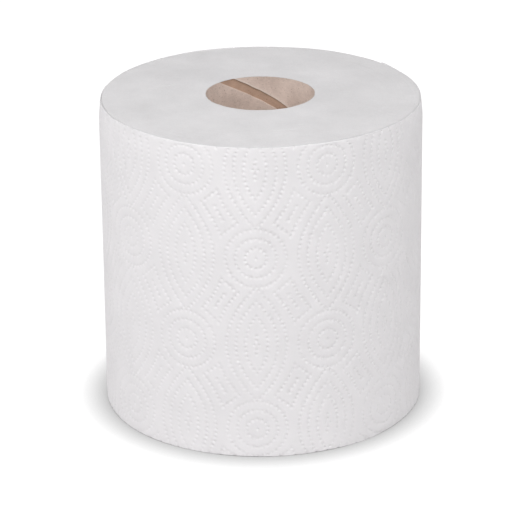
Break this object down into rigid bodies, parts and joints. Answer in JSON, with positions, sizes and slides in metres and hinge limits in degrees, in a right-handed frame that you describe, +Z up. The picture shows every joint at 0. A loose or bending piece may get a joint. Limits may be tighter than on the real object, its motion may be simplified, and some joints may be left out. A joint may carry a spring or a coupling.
{
  "type": "paper towel roll",
  "caption": "Roll of white dot-embossed paper towel wound on a two-ply board core, standing on its sawn end.",
  "frame": {"origin": "middle of the sawn end that the roll stands on, on the roll's axis", "axes": "+Z up along the roll's axis, -Y towards the side seen from the front"},
  "size_m": [0.192, 0.1918, 0.19],
  "materials": {
    "towel_paper": "soft matt embossed tissue",
    "core_brown_board": "matt brown kraft board",
    "core_grey_board": "matt grey-brown recycled board"
  },
  "bodies": {
    "root": {"wound_towel": "towel_paper", "core_outer_ply": "core_brown_board", "core_inner_ply": "core_grey_board"}
  },
  "joints": []
}
